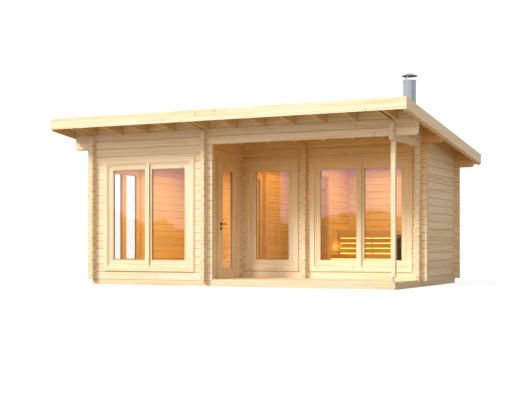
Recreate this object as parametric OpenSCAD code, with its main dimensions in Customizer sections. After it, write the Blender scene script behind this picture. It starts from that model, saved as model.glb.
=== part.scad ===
// Log-built garden sauna: a front room, a covered corner terrace, a hall and a sauna
// room under one roof that falls to the back. Lengths are in millimetres.
// X runs to the right, Y to the back, Z up. The plan is drawn from the front left
// corner of the walls, and site() moves it so that the origin is under the roof's centre.

/* [Plan] */
// Width over the outer faces of the side walls
house_w = 5640; // [5400:10:6800]
// Depth over the outer faces of the front and back walls
house_d = 3420; // [3400:10:4200]
// Width of the front room over its two walls
front_room_w = 2320; // [2260:10:2800]
// Depth of the terrace, from the front wall's face to the terrace wall's face
terrace_d = 1335; // [1320:5:1650]
// Clear width of the hall between the door wall and the sauna partition
hall_w = 1195; // [1160:5:1500]

/* [Logs] */
// Thickness of a wall log
log_t = 70; // [56:1:90]
// Height of one log course
course_h = 135; // [112:1:162]
// Length of the log ends past a corner
log_end = 100; // [60:5:140]
// Depth of the V joint between two logs
joint_v = 7; // [3:1:10]

/* [Base and floor] */
// Height of the base beams
base_h = 92; // [70:1:120]
// Width of the base beams
base_w = 95; // [80:1:120]
// Width of a floor joist
joist_w = 60; // [45:1:80]
// Largest distance between two joists, centre to centre
joist_spacing = 560; // [400:10:620]
// Thickness of the floor and terrace boards
floor_t = 26; // [20:1:34]

/* [Roof] */
// Height of the roof boards' underside at the front wall's face
eaves_h = 2780; // [2700:5:3000]
// Fall of the roof to the back, in degrees
roof_pitch = 6.5; // [4:0.5:9]
// Roof overhang past the front wall
front_overhang = 683; // [400:1:800]
// Roof overhang past the back wall
rear_overhang = 337; // [200:1:500]
// Roof overhang past each side wall
side_overhang = 405; // [250:1:500]
// Width of a rafter
rafter_w = 45; // [35:1:60]
// Depth of a rafter, measured upright
rafter_h = 146; // [100:1:160]
// Largest distance between two rafters, centre to centre
rafter_spacing = 600; // [450:10:700]
// Thickness of the roof boards
board_t = 20; // [16:1:26]
// Thickness of the roofing felt
felt_t = 4; // [3:1:6]
// Thickness of a fascia board
fascia_t = 20; // [16:1:28]
// Height of a fascia board
fascia_h = 184; // [150:1:220]
// Height of the fascia's top edge above the underside of the roof boards
fascia_up = 28; // [26:1:40]
// Thickness of the verge board behind each side fascia
verge_t = 25; // [18:1:35]
// Distance that the verge board hangs below the side fascia
verge_drop = 25; // [0:1:40]
// Chamfer on the lower corner of a beam's end
beam_chamfer = 30; // [10:1:45]

/* [Windows] */
// Height of a window over its casings
window_h = 1957; // [1600:1:2000]
// Height of the lower edge of the window casings above the ground
window_z = 243; // [200:1:300]
// Width of the front window over its casings
front_window_w = 1830; // [1500:5:1850]
// Width of the window in the left wall over its casings
left_window_w = 1220; // [900:5:1500]
// Distance from the front wall's face to the left wall's window
left_window_y = 330; // [250:5:500]
// Width of the hall window over its casings
hall_window_w = 1025; // [800:5:1040]
// Distance from the door wall to the hall window
hall_window_gap = 70; // [30:5:70]
// Width of the sauna window over its casings
sauna_window_w = 1860; // [1500:5:1860]
// Distance from the partition to the sauna window
sauna_window_gap = 50; // [40:5:60]
// Width of a casing board
casing_w = 85; // [60:1:100]
// Thickness of a casing board
casing_t = 18; // [12:1:24]
// Width of casing that lies on the window or door frame
casing_lap = 15; // [8:1:25]
// Distance that a head casing stands out past the side casings
head_out = 12; // [0:1:25]
// Width of window frame and sash that shows inside the casings
sash_w = 95; // [60:1:110]
// Distance that the sash lies behind the frame's face
sash_back = 10; // [5:1:15]
// Width of the fixed frame that shows around the sash
frame_w = 35; // [20:1:45]
// Width of the middle post of a double window
mullion_w = 118; // [90:1:140]
// Width of the cover batten on the middle post
batten_w = 60; // [40:1:80]
// Thickness of a sealed glass unit
glass_t = 24; // [16:1:28]

/* [Doors] */
// Width of the wooden door leaves and the glass door
leaf_w = 630; // [600:5:700]
// Thickness of a wooden door leaf
leaf_t = 45; // [38:1:50]
// Height of the entrance door leaf
entrance_h = 1950; // [1800:5:1960]
// Height of the inner door leaf
inner_h = 1890; // [1750:5:1900]
// Height of the glass sauna door
sauna_door_h = 1790; // [1700:5:1850]
// Thickness of the glass sauna door
sauna_door_t = 8; // [6:1:10]
// Height of the door leaves' lower edge above the ground
leaf_z = 150; // [145:1:170]
// Distance from the front wall's face to the entrance door's free edge
entrance_y = 448; // [300:1:460]
// Distance from the terrace wall's inner face to the inner door's free edge
inner_gap = 215; // [180:1:300]
// Distance from the terrace wall's inner face to the sauna door's free edge
sauna_door_gap = 215; // [180:1:300]
// Gap at the free edge of a door leaf
gap_free = 8; // [6:1:12]
// Gap at the other edges of a door leaf
gap_edge = 5; // [5:1:8]
// Thickness of a door jamb and head
jamb_t = 35; // [30:1:45]
// Distance that the door stop stands out of the jamb
stop_out = 12; // [8:1:20]
// Width of a door casing
door_casing_w = 75; // [60:1:90]
// Distance from the jamb's face to the door casing
casing_reveal = 10; // [10:1:16]
// Width of a door leaf's stiles
stile_w = 120; // [90:1:130]
// Height of a door leaf's top rail
top_rail_h = 100; // [80:1:140]
// Height of a door leaf's bottom rail
bottom_rail_h = 127; // [100:1:200]
// Height of the lever handles above the ground
lever_z = 1060; // [950:5:1150]
// Distance from a leaf's free edge to the lever's spindle
lever_in = 55; // [50:1:60]
// Length of a lever handle
lever_l = 115; // [90:1:130]

/* [Terrace post] */
// Side of the square post
post_w = 70; // [60:1:90]
// Height of the adjustable foot under the post
foot_h = 82; // [60:1:110]
// Side of the foot's square base plate
foot_plate = 90; // [70:1:120]

/* [Sauna room] */
// Depth of the upper bench
upper_bench_d = 600; // [500:5:650]
// Height of the upper bench's seat above the ground
upper_bench_z = 970; // [900:5:1050]
// Height of the lower bench's seat above the ground
lower_bench_z = 520; // [450:5:560]
// Distance that the lower bench stands out in front of the upper one
lower_bench_d = 400; // [300:5:420]
// Least distance from the sauna door's casing to the lower bench
bench_gap = 10; // [5:1:30]
// Thickness of a bench seat
seat_t = 28; // [22:1:34]
// Height of the board along the upper bench's front edge
upper_edge_h = 140; // [100:1:150]
// Height of the board along the lower bench's front edge
lower_edge_h = 70; // [50:1:110]
// Height of one slat in the bench's front
slat_h = 74; // [60:1:80]
// Distance from one slat to the next, centre to centre
slat_pitch = 93; // [85:1:100]

/* [Heater and flue] */
// Side of the square heater
heater_w = 400; // [340:5:440]
// Height of the heater's top above the ground
heater_z = 800; // [700:5:900]
// Distance from the right wall's inner face to the flue's axis
flue_right = 290; // [250:5:340]
// Distance from the terrace wall's inner face to the flue's axis
flue_back = 445; // [400:5:480]
// Outer radius of the insulated flue
flue_r = 112; // [90:1:125]
// Radius of the flue's bore
flue_bore_r = 75; // [60:1:85]
// Height of the flue's top above the ground
flue_z = 3530; // [3300:5:3800]
// Radius of the rain cap
cap_r = 140; // [125:1:160]

/* [Hidden] */
$fn = 48;

// Plan lines
roof_y0 = -front_overhang;
roof_y1 = house_d + rear_overhang;
roof_x0 = -side_overhang;
roof_x1 = house_w + side_overhang;
door_wall_x = front_room_w - log_t;
partition_x = front_room_w + hall_w;
right_wall_x = house_w - log_t;
back_wall_y = house_d - log_t;
inside_y = terrace_d + log_t;
sauna_x0 = partition_x + log_t;
floor_z = base_h + floor_t;
slack = 1;
roof_gap = 0.2;
max_courses = 26;

// Roof planes
slope = tan(roof_pitch);
function under(y) = eaves_h - slope * y;
function rafter_low(y) = under(y) - rafter_h;

// Course levels: logs along X start on whole courses, logs along Y half a course higher
function course_z(n) = base_h + n * course_h;
function courses_below(z) = floor((z - base_h) / course_h);
function end_top(y) = course_z(floor((rafter_low(y) - base_h) / course_h - 0.5) + 0.5);
// The log that carries the rafters of a wall along X keeps a third of its height below them
function beam_course(y) = courses_below(rafter_low(y + log_t / 2) - course_h / 3);
front_beam_n = beam_course(0) - 1;
terrace_beam_n = beam_course(terrace_d);
back_beam_n = beam_course(back_wall_y);
side_beam_n = front_beam_n - 0.5;
beam_x0 = roof_x0 + fascia_t + verge_t;
beam_x1 = roof_x1 - fascia_t - verge_t;
wall_top = eaves_h + slope * front_overhang;

// Window sizes
frame_in = casing_w - casing_lap;
front_window_x = (front_room_w - front_window_w) / 2;
hall_window_x = front_room_w + hall_window_gap;
sauna_window_x = sauna_x0 + sauna_window_gap;

// Door sizes, along the wall from the free jamb's face
door_clear = leaf_w + gap_free + gap_edge;
pivot_y = gap_free + leaf_w + gap_edge / 2;
pivot_x = 9;
knuckle_r = 7;
knuckle_h = 35;
pin_r = 3.5;
pin_clear = 0.08;
knuckle_gap = 0.3;
spindle_r = 8;
rose_r = 26;
rose_t = 8;
lever_out = 48;
entrance_y0 = entrance_y - gap_free;
inner_y0 = inside_y + inner_gap - gap_free;
sauna_door_y0 = inside_y + sauna_door_gap - gap_free;

// Sauna room
door_side = casing_reveal + door_casing_w;
upper_front_y = back_wall_y - upper_bench_d;
lower_front_y = max(upper_front_y - lower_bench_d,
    sauna_door_y0 + door_clear + door_side + bench_gap);
flue_x = right_wall_x - flue_right;
flue_y = inside_y + flue_back;
flue_gap = 0.4;

spruce = [0.87, 0.72, 0.49];
spruce_light = [0.93, 0.81, 0.6];
iron = [0.12, 0.12, 0.13];
steel = [0.72, 0.74, 0.76];

module site() translate([-house_w / 2, -(roof_y0 + roof_y1) / 2, 0]) children();

// ---- Log walls -------------------------------------------------------------

// One face of a stack of logs from z0 to z1, as [depth of the joint, height] points.
// A joint at either end keeps the half of its V that belongs to this stack.
function face_points(z0, z1, shift) =
    let (near = 0.01,
        marks = [for (n = [0:max_courses])
            let (z = course_z(n + shift)) if (z > z0 - near && z < z1 + near) z],
        low = len([for (z = marks) if (z < z0 + near) z]) > 0 ? [] : [[0, z0]],
        high = len([for (z = marks) if (z > z1 - near) z]) > 0 ? [] : [[0, z1]])
    concat(low,
        [for (z = marks) each [for (p = [[0, z - joint_v], [joint_v, z], [0, z + joint_v]])
            if (p[1] > z0 - near && p[1] < z1 + near) p]],
        high);

// Cross section of a stack of logs that start at a share of a course
module stack_outline(z0, z1, shift) {
    face = face_points(z0, z1, shift);
    last = len(face) - 1;
    polygon(concat([for (p = face) [log_t - p[0], p[1]]],
        [for (i = [last:-1:0]) face[i]]));
}

// Logs that lie along X, from x0 to x1, with their front face at y
module logs_x(x0, x1, y, z0, z1)
    translate([x0, y, 0]) rotate([90, 0, 90]) linear_extrude(x1 - x0)
        stack_outline(z0, z1, 0);

// Logs that lie along Y, from y0 to y1, with their left face at x
module logs_y(y0, y1, x, z0, z1)
    translate([x, y1, 0]) rotate([90, 0, 0]) linear_extrude(y1 - y0)
        stack_outline(z0, z1, 0.5);

// Notches in logs along X where the wall along Y at x passes through them
module notches_in_x(x, y, n0 = 0, n1 = max_courses)
    for (n = [n0:n1])
        translate([x, y - slack, course_z(n - 0.25)])
            cube([log_t, log_t + 2 * slack, course_h / 2]);

// Notches in logs along Y where the wall along X at y passes through them
module notches_in_y(x, y, n0 = 0, n1 = max_courses)
    for (n = [n0:n1])
        translate([x - slack, y, course_z(n + 0.25)])
            cube([log_t + 2 * slack, log_t, course_h / 2]);

// Everything below the roof boards, less the thickness of a saw cut's error
module below_roof()
    translate([roof_x0, 0, -roof_gap]) rotate([90, 0, 90])
        linear_extrude(roof_x1 - roof_x0)
            polygon([[roof_y0, 0], [roof_y1, 0], [roof_y1, under(roof_y1)],
                [roof_y0, under(roof_y0)]]);

// Space over the log ends at one end of a wall along Y, from y0 to y1
module above_ends(x, y0, y1)
    translate([x - slack, y0, end_top((y0 + y1) / 2)])
        cube([log_t + 2 * slack, y1 - y0, wall_top]);

// Chamfer under the end of a beam along X
module beam_end_cut(x, y, z)
    translate([x, y + log_t / 2, z]) rotate([0, 45, 0])
        cube([beam_chamfer * sqrt(2), log_t + 2 * slack, beam_chamfer * sqrt(2)],
            center = true);

// A block of space, from one corner to the other
module block(a, b) translate(a) cube(b - a);

// ---- Base and floor --------------------------------------------------------

// Beams along X under the front wall, the terrace wall and the back wall
beam_ys = [0, terrace_d, house_d - base_w];

module base_frame() color(spruce) site()
    for (y = beam_ys) block([0, y, 0], [house_w, y + base_w, base_h]);

// Beams and joists along Y, cut between the beams along X
module floor_joists() color(spruce) site() {
    count = ceil((house_w - joist_w) / joist_spacing);
    pitch = (house_w - joist_w) / count;
    walls = [0, front_room_w - base_w, partition_x, house_w - base_w];
    between = [for (i = [1:count - 1]) let (x = i * pitch)
        if (min([for (w = walls) abs(x - w)]) > base_w) x];
    for (row = [0, 1]) {
        y0 = beam_ys[row] + base_w;
        for (x = walls) block([x, y0, 0], [x + base_w, beam_ys[row + 1], base_h]);
        for (x = between) block([x, y0, 0], [x + joist_w, beam_ys[row + 1], base_h]);
    }
}

module terrace_deck() color(spruce_light) site() difference() {
    block([front_room_w, 0, base_h], [house_w, terrace_d, floor_z]);
    block([front_room_w - slack, 0, 0], [front_room_w + log_end, log_t, wall_top]);
    for (x = [partition_x, right_wall_x])
        block([x, terrace_d - log_end, 0], [x + log_t, terrace_d + slack, wall_top]);
    block([right_wall_x, terrace_d - log_end, 0],
        [house_w + slack, terrace_d + slack, wall_top]);
}

module room_floors() color(spruce) site() {
    block([log_t, log_t, base_h], [door_wall_x, back_wall_y, floor_z]);
    block([front_room_w, inside_y, base_h], [partition_x, back_wall_y, floor_z]);
    block([sauna_x0, inside_y, base_h], [right_wall_x, back_wall_y, floor_z]);
}

// ---- Walls -----------------------------------------------------------------

module front_wall() color(spruce_light) site() difference() {
    logs_x(-log_end, front_room_w + log_end, 0, base_h, course_z(front_beam_n));
    for (x = [0, door_wall_x]) notches_in_x(x, 0, 0, front_beam_n);
    at_front_window() window_hole(front_window_w);
}

module left_wall() color(spruce_light) site() difference() {
    intersection() {
        logs_y(-log_end, house_d + log_end, 0, base_h, wall_top);
        below_roof();
    }
    for (y = [0, back_wall_y]) notches_in_y(0, y);
    above_ends(0, -log_end - slack, 0);
    above_ends(0, house_d, house_d + log_end + slack);
    at_left_window() window_hole(left_window_w);
}

module back_wall() color(spruce_light) site() difference() {
    logs_x(-log_end, house_w + log_end, back_wall_y, base_h, course_z(back_beam_n));
    for (x = [0, door_wall_x, partition_x, right_wall_x])
        notches_in_x(x, back_wall_y, 0, back_beam_n);
}

module right_wall() color(spruce_light) site() difference() {
    logs_y(terrace_d - log_end, house_d + log_end, right_wall_x, base_h,
        course_z(side_beam_n));
    for (y = [terrace_d, back_wall_y]) notches_in_y(right_wall_x, y);
    above_ends(right_wall_x, house_d, house_d + log_end + slack);
}

module terrace_wall() color(spruce_light) site() difference() {
    logs_x(door_wall_x, house_w + log_end, terrace_d, base_h, course_z(terrace_beam_n));
    for (x = [door_wall_x, partition_x, right_wall_x])
        notches_in_x(x, terrace_d, 0, terrace_beam_n);
    at_hall_window() window_hole(hall_window_w);
    at_sauna_window() window_hole(sauna_window_w);
}

// A doorway through a wall along Y, from the base to the roof
module doorway(x, y0)
    block([x - slack, y0 - jamb_t, 0], [x + log_t + slack, y0 + door_clear + jamb_t, 2 * wall_top]);

module door_wall() color(spruce_light) site() difference() {
    intersection() {
        logs_y(-log_end, house_d + log_end, door_wall_x, base_h, wall_top);
        below_roof();
    }
    for (y = [0, terrace_d, back_wall_y]) notches_in_y(door_wall_x, y);
    above_ends(door_wall_x, -log_end - slack, 0);
    above_ends(door_wall_x, house_d, house_d + log_end + slack);
    doorway(door_wall_x, entrance_y0);
    doorway(door_wall_x, inner_y0);
}

module partition() color(spruce_light) site() difference() {
    intersection() {
        logs_y(terrace_d - log_end, house_d + log_end, partition_x, base_h, wall_top);
        below_roof();
    }
    for (y = [terrace_d, back_wall_y]) notches_in_y(partition_x, y);
    above_ends(partition_x, terrace_d - log_end - slack, terrace_d);
    above_ends(partition_x, house_d, house_d + log_end + slack);
    doorway(partition_x, sauna_door_y0);
    rafter_row();
}

// The logs over one doorway
module lintel(x, y0, leaf_h) difference() {
    intersection() {
        logs_y(y0 - jamb_t, y0 + door_clear + jamb_t, x,
            leaf_z + leaf_h + gap_edge + jamb_t, wall_top);
        below_roof();
    }
    rafter_row();
}

module door_lintels() color(spruce_light) site() {
    lintel(door_wall_x, entrance_y0, entrance_h);
    lintel(door_wall_x, inner_y0, inner_h);
    lintel(partition_x, sauna_door_y0, sauna_door_h);
}

// Top logs along X that carry the rafters and run on under the roof's side overhangs
module roof_beam(x0, x1, y, n0, walls) difference() {
    z = course_z(n0);
    intersection() {
        logs_x(x0, x1, y, z, wall_top);
        below_roof();
    }
    for (x = walls) notches_in_x(x, y, n0);
    rafter_row();
    if (x0 < 0) beam_end_cut(x0, y, z);
    beam_end_cut(x1, y, z);
}

module roof_beams() color(spruce_light) site() {
    roof_beam(beam_x0, beam_x1, 0, front_beam_n, [0, door_wall_x, right_wall_x]);
    roof_beam(door_wall_x, beam_x1, terrace_d, terrace_beam_n,
        [door_wall_x, partition_x, right_wall_x]);
    roof_beam(beam_x0, beam_x1, back_wall_y, back_beam_n,
        [0, door_wall_x, partition_x, right_wall_x]);
}

module side_beam() color(spruce_light) site() difference() {
    intersection() {
        logs_y(-log_end, house_d + log_end, right_wall_x,
            course_z(side_beam_n), wall_top);
        below_roof();
    }
    notches_in_y(right_wall_x, 0, front_beam_n);
    for (y = [terrace_d, back_wall_y]) notches_in_y(right_wall_x, y);
    above_ends(right_wall_x, -log_end - slack, 0);
    above_ends(right_wall_x, house_d, house_d + log_end + slack);
}

// ---- Terrace post ----------------------------------------------------------

module terrace_post() color(spruce_light) site()
    block([house_w - post_w, 0, floor_z + foot_h], [house_w, post_w, course_z(side_beam_n)]);

module post_foot() color(steel) site()
    translate([house_w - post_w / 2, post_w / 2, floor_z]) {
        plate_t = 6;
        translate([-post_w / 2, -post_w / 2, 0]) cube([post_w, foot_plate, plate_t]);
        cylinder(r = 10, h = foot_h);
        translate([0, 0, foot_h - plate_t - 14]) cylinder(r = 17, h = 14, $fn = 6);
        translate([-post_w / 2 + 2, -post_w / 2 + 2, foot_h - plate_t])
            cube([post_w - 4, post_w - 4, plate_t]);
    }

// ---- Roof ------------------------------------------------------------------

// A bar under or in the roof that runs from front to back between x0 and x1.
// low and high are its edges' heights above the roof boards' underside.
module roof_bar(x0, x1, low, high) {
    ya = roof_y0 + fascia_t;
    yb = roof_y1 - fascia_t;
    translate([x0, 0, 0]) rotate([90, 0, 90]) linear_extrude(x1 - x0)
        polygon([[ya, under(ya) + low], [yb, under(yb) + low],
            [yb, under(yb) + high], [ya, under(ya) + high]]);
}

// Left faces of the single rafters between two walls, whose near rafters are at c0 and c1
function singles(c0, c1) =
    let (count = ceil((c1 - c0) / rafter_spacing))
        [for (i = [1:count - 1]) c0 + (c1 - c0) * i / count];

// A pair of rafters holds each side wall and the door wall between them
rafter_lefts = concat(
    [-rafter_w, log_t], singles(log_t, door_wall_x - rafter_w),
    [door_wall_x - rafter_w, front_room_w], singles(front_room_w, right_wall_x - rafter_w),
    [right_wall_x - rafter_w, house_w]);

module rafter_row()
    for (x = rafter_lefts) roof_bar(x, x + rafter_w, -rafter_h, 0);

module rafters() color(spruce) site() {
    verge_low = fascia_up - fascia_h - verge_drop;
    rafter_row();
    roof_bar(roof_x0 + fascia_t, beam_x0, verge_low, 0);
    roof_bar(beam_x1, roof_x1 - fascia_t, verge_low, 0);
}

module flue_hole(r) translate([flue_x, flue_y, 0]) cylinder(r = r, h = 2 * wall_top);

module roof_boards() color(spruce) site() difference() {
    roof_bar(roof_x0 + fascia_t, roof_x1 - fascia_t, 0, board_t);
    flue_hole(flue_r + 3);
}

module roof_felt() color([0.23, 0.23, 0.24]) site() difference() {
    roof_bar(roof_x0 + fascia_t, roof_x1 - fascia_t, board_t, board_t + felt_t);
    flue_hole(flue_r + 3);
}

module end_fascias() color(spruce_light) site() {
    for (y = [roof_y0, roof_y1 - fascia_t]) {
        top = under(y == roof_y0 ? y : roof_y1) + fascia_up;
        block([roof_x0, y, top - fascia_h], [roof_x1, y + fascia_t, top]);
    }
}

module side_fascias() color(spruce_light) site() {
    low = fascia_up - fascia_h;
    roof_bar(roof_x0, roof_x0 + fascia_t, low, fascia_up);
    roof_bar(roof_x1 - fascia_t, roof_x1, low, fascia_up);
}

// ---- Windows ---------------------------------------------------------------
// A window is drawn with its outer casing's lower left corner at the origin, X to the
// right as seen from outside, and Y into the wall from its outer face.

module at_front_window() translate([front_window_x, 0, window_z]) children();
module at_hall_window() translate([hall_window_x, terrace_d, window_z]) children();
module at_sauna_window() translate([sauna_window_x, terrace_d, window_z]) children();
module at_left_window()
    translate([0, left_window_y + left_window_w, window_z]) rotate([0, 0, -90]) children();

module window_hole(w)
    block([frame_in, -slack, frame_in], [w - frame_in, log_t + slack, window_h - frame_in]);

function pane_w(w, panes) =
    (w - 2 * (casing_w + sash_w) - (panes - 1) * mullion_w) / panes;

// The glass openings of a window, between depths y0 and y1
module pane_blocks(w, panes, y0, y1) {
    edge = casing_w + sash_w;
    for (i = [0:panes - 1]) {
        x = edge + i * (pane_w(w, panes) + mullion_w);
        block([x, y0, edge], [x + pane_w(w, panes), y1, window_h - edge]);
    }
}

module window_frame(w, panes) difference() {
    inner = casing_w + frame_w;
    block([frame_in, 0, frame_in], [w - frame_in, log_t, window_h - frame_in]);
    pane_blocks(w, panes, -slack, log_t + slack);
    for (y = [-slack, log_t - sash_back])
        block([inner, y, inner], [w - inner, y + sash_back + slack, window_h - inner]);
}

module window_frames() color(spruce_light) site() {
    at_front_window() window_frame(front_window_w, 2);
    at_left_window() window_frame(left_window_w, 2);
    at_hall_window() window_frame(hall_window_w, 1);
    at_sauna_window() window_frame(sauna_window_w, 2);
}

module window_glass() color([0.95, 0.8, 0.6, 0.4]) site() {
    y0 = (log_t - glass_t) / 2;
    at_front_window() pane_blocks(front_window_w, 2, y0, y0 + glass_t);
    at_left_window() pane_blocks(left_window_w, 2, y0, y0 + glass_t);
    at_hall_window() pane_blocks(hall_window_w, 1, y0, y0 + glass_t);
    at_sauna_window() pane_blocks(sauna_window_w, 2, y0, y0 + glass_t);
}

module window_uprights(w, panes) {
    head = window_h - casing_w;
    for (y = [-casing_t, log_t], x = [0, w - casing_w])
        block([x, y, 0], [x + casing_w, y + casing_t, head]);
    if (panes > 1)
        block([(w - batten_w) / 2, -casing_t, casing_w],
            [(w + batten_w) / 2, 0, head]);
}

module window_levels(w)
    for (y = [-casing_t, log_t]) {
        block([casing_w, y, 0], [w - casing_w, y + casing_t, casing_w]);
        block([-head_out, y, window_h - casing_w],
            [w + head_out, y + casing_t, window_h]);
    }

// ---- Door frames -----------------------------------------------------------
// A door is drawn with the wall's face on its opening side at x = 0 and the wall behind
// it, the free jamb's face at y = 0 and the hinges at the far end. Z is the real height.

module at_entrance() translate([front_room_w, entrance_y0, 0]) children();
module at_inner() translate([door_wall_x, inner_y0, 0]) mirror([1, 0, 0]) children();
module at_sauna_door() translate([partition_x, sauna_door_y0, 0]) mirror([1, 0, 0]) children();

// Both jambs, each with a stop behind the leaf
module jambs(leaf_h, t) {
    top = leaf_z + leaf_h + gap_edge;
    stop_x = -t - gap_edge;
    block([-log_t, -jamb_t, base_h], [0, 0, top]);
    block([-log_t, door_clear, base_h], [0, door_clear + jamb_t, top]);
    block([-log_t, -slack, base_h], [stop_x, stop_out, top]);
    block([-log_t, door_clear - stop_out, base_h], [stop_x, door_clear + slack, top]);
}

// The head with its stop, and the threshold
module head_and_threshold(leaf_h, t) {
    top = leaf_z + leaf_h + gap_edge;
    block([-log_t, -jamb_t, top], [0, door_clear + jamb_t, top + jamb_t]);
    block([-log_t, stop_out, top - stop_out],
        [-t - gap_edge, door_clear - stop_out, top + slack]);
    block([-log_t, stop_out, base_h], [0, door_clear - stop_out, leaf_z - gap_edge]);
    block([-t - gap_edge, 0, base_h], [0, door_clear, leaf_z - gap_edge]);
}

module door_jambs() color(spruce_light) site() {
    at_entrance() jambs(entrance_h, leaf_t);
    at_inner() jambs(inner_h, leaf_t);
    at_sauna_door() jambs(sauna_door_h, sauna_door_t);
}

module door_heads() color(spruce_light) site() {
    at_entrance() head_and_threshold(entrance_h, leaf_t);
    at_inner() head_and_threshold(inner_h, leaf_t);
    at_sauna_door() head_and_threshold(sauna_door_h, sauna_door_t);
}

module door_uprights(leaf_h) {
    top = leaf_z + leaf_h + gap_edge + casing_reveal;
    for (x = [0, -log_t - casing_t])
        for (y = [-door_side, door_clear + casing_reveal])
            block([x, y, floor_z], [x + casing_t, y + door_casing_w, top]);
}

module door_levels(leaf_h) {
    top = leaf_z + leaf_h + gap_edge + casing_reveal;
    side = door_side + head_out;
    for (x = [0, -log_t - casing_t])
        block([x, -side, top], [x + casing_t, door_clear + side, top + door_casing_w]);
}

module upright_casings() color(spruce_light) site() {
    at_front_window() window_uprights(front_window_w, 2);
    at_left_window() window_uprights(left_window_w, 2);
    at_hall_window() window_uprights(hall_window_w, 1);
    at_sauna_window() window_uprights(sauna_window_w, 2);
    at_entrance() door_uprights(entrance_h);
    at_inner() door_uprights(inner_h);
    at_sauna_door() door_uprights(sauna_door_h);
}

module level_casings() color(spruce_light) site() {
    at_front_window() window_levels(front_window_w);
    at_left_window() window_levels(left_window_w);
    at_hall_window() window_levels(hall_window_w);
    at_sauna_window() window_levels(sauna_window_w);
    at_entrance() door_levels(entrance_h);
    at_inner() door_levels(inner_h);
    at_sauna_door() door_levels(sauna_door_h);
}

// ---- Hinges and handles ----------------------------------------------------

function hinge_zs(leaf_h) = [leaf_z + 220, leaf_z + leaf_h - 290];

// Fixed halves of a door's hinges: a lug on the jamb's face, a knuckle and its pin
module fixed_hinges(leaf_h)
    for (z = hinge_zs(leaf_h)) translate([0, 0, z]) {
        translate([pivot_x, pivot_y, 0]) cylinder(r = knuckle_r, h = knuckle_h);
        translate([pivot_x, pivot_y, 0])
            cylinder(r = pin_r, h = 2 * knuckle_h + knuckle_gap);
        block([0, pivot_y, 0], [pivot_x, door_clear + casing_reveal - 3, knuckle_h]);
    }

// Moving halves: a bored knuckle on a lug that is screwed to the leaf
module leaf_hinges(leaf_h, lug)
    for (z = hinge_zs(leaf_h)) translate([0, 0, z + knuckle_h + knuckle_gap])
        difference() {
            union() {
                translate([pivot_x, pivot_y, 0]) cylinder(r = knuckle_r, h = knuckle_h);
                block([0, pivot_y - lug, 0], [pivot_x, pivot_y, knuckle_h]);
            }
            translate([pivot_x, pivot_y, -slack])
                cylinder(r = pin_r + pin_clear, h = knuckle_h + 2 * slack);
        }

module hinge_pins() color(steel) site() {
    at_entrance() fixed_hinges(entrance_h);
    at_inner() fixed_hinges(inner_h);
    at_sauna_door() fixed_hinges(sauna_door_h);
}

// A cylinder along X
module bar_x(x0, x1, r) translate([x0, 0, 0]) rotate([0, 90, 0]) cylinder(r = r, h = x1 - x0);

module at_spindle() translate([0, gap_free + lever_in, lever_z]) children();

// Rings around the spindle and round keyhole plates below them, on both faces
module roses() {
    key_drop = 78;
    for (x = [0, -leaf_t - rose_t]) at_spindle() {
        difference() {
            bar_x(x, x + rose_t, rose_r);
            bar_x(x - slack, x + rose_t + slack, spindle_r + pin_clear);
        }
        translate([0, 0, -key_drop]) bar_x(x, x + rose_t, rose_r);
    }
}

// Two levers on one spindle, pointing to the hinges
module lever() at_spindle() {
    bar_x(-leaf_t - lever_out, lever_out, spindle_r);
    for (x = [-leaf_t - lever_out, lever_out])
        translate([x, 0, 0]) {
            rotate([-90, 0, 0]) cylinder(r = spindle_r, h = lever_l);
            sphere(r = spindle_r);
        }
}

// ---- Door leaves -----------------------------------------------------------

module glass_block(leaf_h, x0, x1)
    block([x0, gap_free + stile_w, leaf_z + bottom_rail_h],
        [x1, gap_free + leaf_w - stile_w, leaf_z + leaf_h - top_rail_h]);

module leaf(leaf_h) difference() {
    block([-leaf_t, gap_free, leaf_z], [0, gap_free + leaf_w, leaf_z + leaf_h]);
    glass_block(leaf_h, -leaf_t - slack, slack);
    at_spindle() bar_x(-leaf_t - slack, slack, spindle_r + pin_clear);
}

module entrance_door() color(spruce_light) site() at_entrance() leaf(entrance_h);
module entrance_glass() color([0.95, 0.8, 0.6, 0.4]) site() at_entrance()
    glass_block(entrance_h, -(leaf_t + glass_t) / 2, -(leaf_t - glass_t) / 2);
module entrance_fittings() color(iron) site() at_entrance() {
    leaf_hinges(entrance_h, 14);
    roses();
}
module entrance_lever() color(iron) site() at_entrance() lever();

module inner_door() color(spruce_light) site() at_inner() leaf(inner_h);
module inner_glass() color([0.95, 0.8, 0.6, 0.4]) site() at_inner()
    glass_block(inner_h, -(leaf_t + glass_t) / 2, -(leaf_t - glass_t) / 2);
module inner_fittings() color(iron) site() at_inner() {
    leaf_hinges(inner_h, 14);
    roses();
}
module inner_lever() color(iron) site() at_inner() lever();

module sauna_door() color([0.85, 0.7, 0.5, 0.4]) site() at_sauna_door()
    block([-sauna_door_t, gap_free, leaf_z],
        [0, gap_free + leaf_w, leaf_z + sauna_door_h]);

// Clamp hinges and a bar handle on each side of the glass
module sauna_fittings() color(steel) site() at_sauna_door() {
    bar_h = 300;
    bar_off = 40;
    leaf_hinges(sauna_door_h, 45);
    translate([0, gap_free + 60, lever_z - bar_h / 2])
        for (side = [0, 1]) {
            x = side == 0 ? bar_off : -sauna_door_t - bar_off;
            translate([x, 0, 0]) cylinder(r = 12, h = bar_h);
            for (z = [40, bar_h - 40]) translate([0, 0, z])
                bar_x(min(x, side == 0 ? 0 : x), side == 0 ? x : -sauna_door_t, 7);
        }
}

// ---- Sauna room ------------------------------------------------------------

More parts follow.
